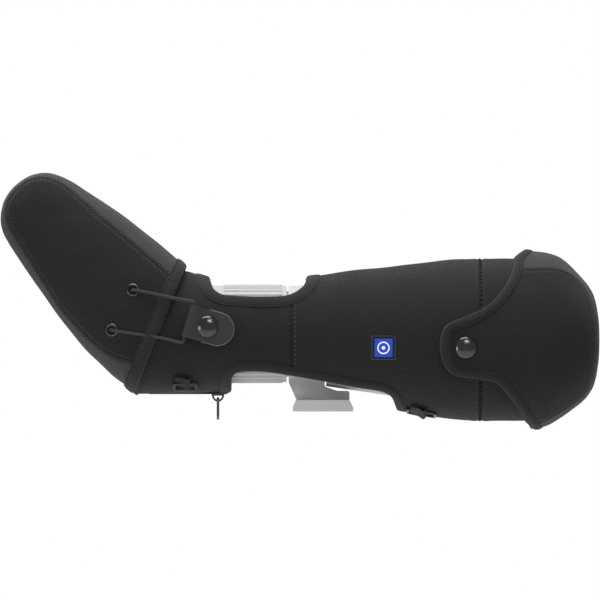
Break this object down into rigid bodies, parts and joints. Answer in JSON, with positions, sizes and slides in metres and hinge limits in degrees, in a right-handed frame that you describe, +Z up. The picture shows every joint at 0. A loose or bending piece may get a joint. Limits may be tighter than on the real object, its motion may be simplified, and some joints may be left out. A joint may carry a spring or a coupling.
{
  "type": "spotting scope",
  "caption": "Angled spotting scope on a tripod foot, in a black padded stay-on case with a front cover and an eyepiece hood that pull off.",
  "frame": {"origin": "centre of the foot's base face, at the mouth of the tripod thread", "axes": "+X along the optical axis towards the objective, +Y to the left for someone looking through the scope, +Z up"},
  "size_m": [0.4189, 0.1314, 0.179],
  "materials": {
    "scope_metal": "pale grey satin lacquer",
    "black_anodised": "black anodised, matt",
    "focus_rubber": "pale grey ribbed rubber",
    "black_rubber": "black rubber, matt",
    "optical_glass": "coated optical glass",
    "neoprene": "black jersey-faced neoprene",
    "ribbed_neoprene": "black neoprene faced with coarse twill",
    "edge_binding": "black knitted binding tape",
    "woven_label": "woven label, blue on black",
    "snap_black": "gloss black lacquered brass",
    "elastic_cord": "black braided elastic",
    "tab_leather": "black coated fabric with a leather grain",
    "webbing": "black polyester webbing",
    "ring_steel": "blackened steel wire",
    "zip_metal": "black lacquered zinc"
  },
  "bodies": {
    "foot": {"tripod_collar": "scope_metal"},
    "lock_screw": {"collar_lock_screw": "black_anodised"},
    "scope": {"body_tube": "scope_metal", "prism_housing": "scope_metal", "prism": "optical_glass", "prism_cradle": "black_anodised", "objective_barrel": "scope_metal", "objective_cell": "black_anodised", "objective_front_lens": "optical_glass", "objective_rear_lens": "optical_glass", "objective_retainer": "black_anodised", "eyepiece_bayonet": "scope_metal", "eyepiece_barrel": "black_anodised", "field_lens": "optical_glass", "eye_lens": "optical_glass", "cover_rear": "neoprene", "cover_barrel": "neoprene", "cover_front": "neoprene", "top_cutout_binding": "edge_binding", "bottom_cutout_binding": "edge_binding", "label": "woven_label", "snap_studs": "snap_black", "rear_strap_loop": "webbing", "front_strap_loop": "webbing", "zip_tape": "webbing", "zip_teeth": "zip_metal"},
    "focus_ring": {"focus_ring": "scope_metal", "focus_grip": "focus_rubber"},
    "focus_carriage": {"focus_lens_cell": "black_anodised", "focus_lens": "optical_glass"},
    "zoom_ring": {"zoom_ring": "black_anodised", "zoom_grip": "black_rubber"},
    "zoom_carriage": {"zoom_lens_cell": "black_anodised", "zoom_lens": "optical_glass"},
    "eyecup_screw": {"eyecup_helix": "black_anodised"},
    "eyecup": {"eyecup_sleeve": "black_anodised", "eyecup_rubber": "black_rubber"},
    "sunshade": {"sunshade": "scope_metal", "sunshade_bumper": "black_rubber"},
    "front_cover": {"cap_gusset": "ribbed_neoprene", "cap_side_panels": "neoprene", "cap_binding": "edge_binding"},
    "right_flap": {"right_flap": "neoprene", "right_flap_snap": "snap_black"},
    "left_flap": {"left_flap": "neoprene", "left_flap_snap": "snap_black"},
    "hood": {"hood_gusset": "ribbed_neoprene", "hood_side_panels": "neoprene", "hood_binding": "edge_binding", "hood_eyelets": "snap_black", "hood_cords": "elastic_cord"},
    "right_tab": {"right_tab": "tab_leather", "right_tab_snap": "snap_black"},
    "left_tab": {"left_tab": "tab_leather", "left_tab_snap": "snap_black"},
    "rear_ring": {"rear_strap_ring": "ring_steel"},
    "front_ring": {"front_strap_ring": "ring_steel"},
    "zip_slider": {"zip_slider": "zip_metal"},
    "zip_pull": {"zip_pull": "zip_metal"}
  },
  "joints": [
    {"name": "collar_turn", "type": "hinge", "parent": "foot", "child": "scope", "pos_m": [0, 0, 0.054], "axis": [1, 0, 0], "range_deg": [-12, 12]},
    {"name": "lock_screw_turn", "type": "hinge", "parent": "foot", "child": "lock_screw", "pos_m": [-0.011, 0.012, 0.0145], "axis": [0, 1, 0], "range_deg": [0, 180]},
    {"name": "focus_turn", "type": "hinge", "parent": "scope", "child": "focus_ring", "pos_m": [0, 0, 0.054], "axis": [1, 0, 0], "range_deg": [-270, 270]},
    {"name": "focus_slide", "type": "slide", "parent": "scope", "child": "focus_carriage", "axis": [1, 0, 0], "range_m": [-0.0076, 0.0076]},
    {"name": "zoom_turn", "type": "hinge", "parent": "scope", "child": "zoom_ring", "pos_m": [-0.16238, 0, 0.10138], "axis": [-0.7071, 0, 0.7071], "range_deg": [0, 100]},
    {"name": "zoom_slide", "type": "slide", "parent": "scope", "child": "zoom_carriage", "axis": [-0.7071, 0, 0.7071], "range_m": [0, 0.0088]},
    {"name": "eyecup_turn", "type": "hinge", "parent": "scope", "child": "eyecup_screw", "pos_m": [-0.185, 0, 0.124], "axis": [-0.7071, 0, 0.7071], "range_deg": [0, 120]},
    {"name": "eyecup_rise", "type": "slide", "parent": "eyecup_screw", "child": "eyecup", "axis": [-0.7071, 0, 0.7071], "range_m": [0, 0.01]},
    {"name": "sunshade_slide", "type": "slide", "parent": "scope", "child": "sunshade", "axis": [1, 0, 0], "range_m": [0, 0.03]},
    {"name": "front_cover_slide", "type": "slide", "parent": "sunshade", "child": "front_cover", "axis": [1, 0, 0], "range_m": [0, 0.12]},
    {"name": "right_flap_peel", "type": "hinge", "parent": "front_cover", "child": "right_flap", "pos_m": [0.126, -0.0634, 0.0497], "axis": [0, 0, 1], "range_deg": [0, 55]},
    {"name": "left_flap_peel", "type": "hinge", "parent": "front_cover", "child": "left_flap", "pos_m": [0.126, 0.0634, 0.0497], "axis": [0, 0, -1], "range_deg": [0, 55]},
    {"name": "hood_slide", "type": "slide", "parent": "scope", "child": "hood", "axis": [-0.7071, 0, 0.7071], "range_m": [0, 0.14]},
    {"name": "right_tab_lift", "type": "hinge", "parent": "hood", "child": "right_tab", "pos_m": [-0.09315, -0.0466, 0.06305], "axis": [-0.2711, 0, -0.9626], "range_deg": [0, 130]},
    {"name": "left_tab_lift", "type": "hinge", "parent": "hood", "child": "left_tab", "pos_m": [-0.09315, 0.0466, 0.06305], "axis": [0.2711, 0, 0.9626], "range_deg": [0, 130]},
    {"name": "rear_ring_swing", "type": "hinge", "parent": "scope", "child": "rear_ring", "pos_m": [-0.096, -0.02727, 0.01909], "axis": [1, 0, 0], "range_deg": [-100, 0]},
    {"name": "front_ring_swing", "type": "hinge", "parent": "scope", "child": "front_ring", "pos_m": [0.0686, -0.01861, -0.00024], "axis": [0.9848, -0.0594, -0.1632], "range_deg": [-100, 0]},
    {"name": "zip_slide", "type": "slide", "parent": "scope", "child": "zip_slider", "axis": [-1, 0, 0], "range_m": [0, 0.042]},
    {"name": "zip_pull_swing", "type": "hinge", "parent": "zip_slider", "child": "zip_pull", "pos_m": [-0.0735, 0, 0.0107], "axis": [0, 1, 0], "range_deg": [-45, 45]}
  ],
  "couplings": [
    {"joint": "focus_slide", "follows": "focus_turn", "m_per_rad": 0.0016},
    {"joint": "zoom_slide", "follows": "zoom_turn", "m_per_rad": 0.005},
    {"joint": "eyecup_rise", "follows": "eyecup_turn", "m_per_rad": 0.00477}
  ]
}
